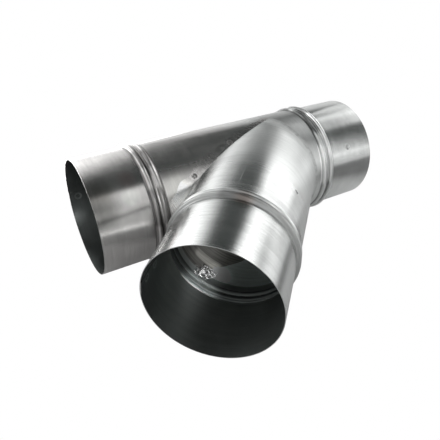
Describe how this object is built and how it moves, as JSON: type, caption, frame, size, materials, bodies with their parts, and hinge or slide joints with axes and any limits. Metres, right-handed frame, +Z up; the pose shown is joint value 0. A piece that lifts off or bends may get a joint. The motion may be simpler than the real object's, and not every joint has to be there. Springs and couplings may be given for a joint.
{
  "type": "oblique duct tee",
  "caption": "Sheet-metal duct tee: a straight run with an equal branch at an oblique angle and a beaded slip-on collar at every open end.",
  "frame": {"origin": "under the middle of the part's box, on the plane it rests on", "axes": "+X along the straight run, towards its end farther from the branch's mouth; the branch leaves towards -X and -Y, at 45 degrees to the run; +Z up, square to the plane of both axes"},
  "size_m": [0.2776, 0.2302, 0.106],
  "materials": {
    "run_sheet": "bare galvanised sheet, smooth and slightly dull",
    "branch_sheet": "bare galvanised sheet, smooth and slightly dull",
    "collar_sheet": "bare galvanised sheet, smooth, with fine marks from rolling"
  },
  "bodies": {
    "root": {"run_tube": "run_sheet", "branch_tube": "branch_sheet", "left_collar": "collar_sheet", "right_collar": "collar_sheet", "branch_collar": "collar_sheet"}
  },
  "joints": []
}
